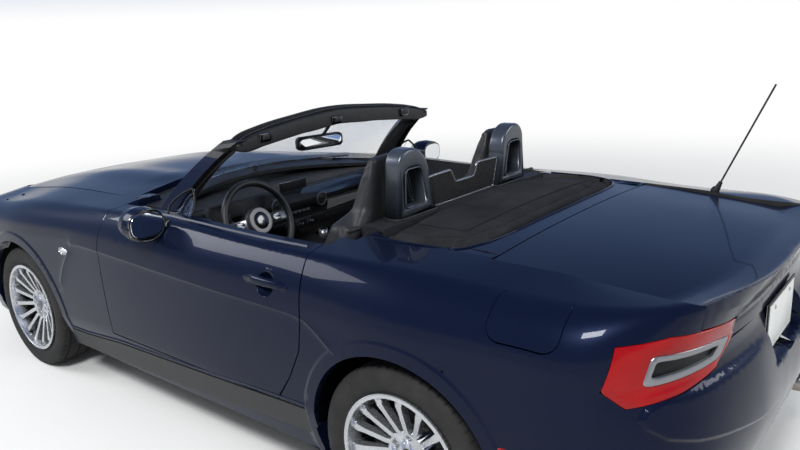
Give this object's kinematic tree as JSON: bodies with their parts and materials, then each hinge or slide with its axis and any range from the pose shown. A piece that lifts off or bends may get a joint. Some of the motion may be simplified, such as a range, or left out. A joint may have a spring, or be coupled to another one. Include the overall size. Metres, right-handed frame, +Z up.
{
  "type": "convertible car",
  "caption": "Small open two-seat car with its soft top stowed: opening doors, hood and trunk lid, steered front wheels and spoked alloy road wheels.",
  "frame": {"origin": "on the ground, at the middle of the bounding box in plan", "axes": "+X towards the front of the car, +Y to its left, +Z up"},
  "size_m": [4.0544, 1.908, 1.2913],
  "materials": {
    "body_paint": "gloss",
    "black_plastic": "matte",
    "dash_plastic": "matte",
    "seat_leather": "satin",
    "soft_top_cloth": "matte",
    "tyre_rubber": "matte",
    "alloy": "satin",
    "chassis_steel": "matte",
    "exhaust_steel": "satin",
    "engine_metal": "matte",
    "floor_metal": "matte",
    "window_glass": "gloss",
    "clear_lens": "gloss",
    "red_lens": "gloss",
    "plate_white": "satin",
    "hoop_metal": "satin"
  },
  "bodies": {
    "car_body": {"antenna": "black_plastic", "cabin_mirror": "black_plastic", "centre_console": "dash_plastic", "cowl": "black_plastic", "dashboard": "dash_plastic", "engine_block": "engine_metal", "exhaust": "exhaust_steel", "floor_tub": "floor_metal", "trunk_tub": "floor_metal", "front_rails": "floor_metal", "front_bumper": "body_paint", "front_fenders": "body_paint", "front_suspension": "chassis_steel", "grille": "black_plastic", "headlamps": "clear_lens", "left_seat": "seat_leather", "rear_bumper": "body_paint", "rear_plate": "plate_white", "rear_quarters": "body_paint", "rear_suspension": "chassis_steel", "right_seat": "seat_leather", "roll_hoops": "hoop_metal", "sills": "body_paint", "stowed_soft_top": "soft_top_cloth", "tail_lamps": "red_lens", "wind_deflector": "black_plastic", "windscreen": "window_glass", "windscreen_frame": "body_paint", "wipers": "black_plastic"},
    "hood_panel": {"hood": "body_paint"},
    "lid_panel": {"trunk_lid": "body_paint"},
    "left_door_body": {"left_door": "body_paint", "left_door_mirror": "body_paint", "left_quarter_light": "window_glass"},
    "right_door_body": {"right_door": "body_paint", "right_door_mirror": "body_paint", "right_quarter_light": "window_glass"},
    "steering": {"steering_wheel": "black_plastic"},
    "left_upright": {"left_knuckle": "chassis_steel"},
    "right_upright": {"right_knuckle": "chassis_steel"},
    "front_left_wheel": {"front_left_rim": "alloy", "front_left_tyre": "tyre_rubber"},
    "front_right_wheel": {"front_right_rim": "alloy", "front_right_tyre": "tyre_rubber"},
    "rear_left_wheel": {"rear_left_rim": "alloy", "rear_left_tyre": "tyre_rubber"},
    "rear_right_wheel": {"rear_right_rim": "alloy", "rear_right_tyre": "tyre_rubber"}
  },
  "joints": [
    {"name": "left_door_hinge", "type": "hinge", "parent": "car_body", "child": "left_door_body", "pos_m": [0.435, 0.862, 0.6], "axis": [0, 0, -1], "range_deg": [0, 65]},
    {"name": "right_door_hinge", "type": "hinge", "parent": "car_body", "child": "right_door_body", "pos_m": [0.435, -0.862, 0.6], "axis": [0, 0, 1], "range_deg": [0, 65]},
    {"name": "hood_hinge", "type": "hinge", "parent": "car_body", "child": "hood_panel", "pos_m": [0.34, 0, 0.9], "axis": [0, -1, 0], "range_deg": [0, 55]},
    {"name": "trunk_hinge", "type": "hinge", "parent": "car_body", "child": "lid_panel", "pos_m": [-1.277, 0, 0.905], "axis": [0, 1, 0], "range_deg": [0, 70]},
    {"name": "left_steer", "type": "hinge", "parent": "car_body", "child": "left_upright", "pos_m": [1.147, 0.69, 0.3005], "axis": [0, 0, 1], "range_deg": [-33, 33]},
    {"name": "right_steer", "type": "hinge", "parent": "car_body", "child": "right_upright", "pos_m": [1.147, -0.69, 0.3005], "axis": [0, 0, 1], "range_deg": [-33, 33]},
    {"name": "steering_turn", "type": "hinge", "parent": "car_body", "child": "steering", "pos_m": [-0.047, 0.358, 0.781], "axis": [-0.9272, 0, 0.3746], "range_deg": [-512, 512]},
    {"name": "front_left_spin", "type": "hinge", "parent": "left_upright", "child": "front_left_wheel", "pos_m": [1.147, 0.748, 0.3005], "axis": [0, 1, 0], "continuous": true},
    {"name": "front_right_spin", "type": "hinge", "parent": "right_upright", "child": "front_right_wheel", "pos_m": [1.147, -0.748, 0.3005], "axis": [0, 1, 0], "continuous": true},
    {"name": "rear_left_spin", "type": "hinge", "parent": "car_body", "child": "rear_left_wheel", "pos_m": [-1.163, 0.748, 0.3005], "axis": [0, 1, 0], "continuous": true},
    {"name": "rear_right_spin", "type": "hinge", "parent": "car_body", "child": "rear_right_wheel", "pos_m": [-1.163, -0.748, 0.3005], "axis": [0, 1, 0], "continuous": true}
  ],
  "couplings": [
    {"joint": "right_steer", "follows": "left_steer", "ratio": 1},
    {"joint": "steering_turn", "follows": "left_steer", "ratio": 15.5}
  ]
}
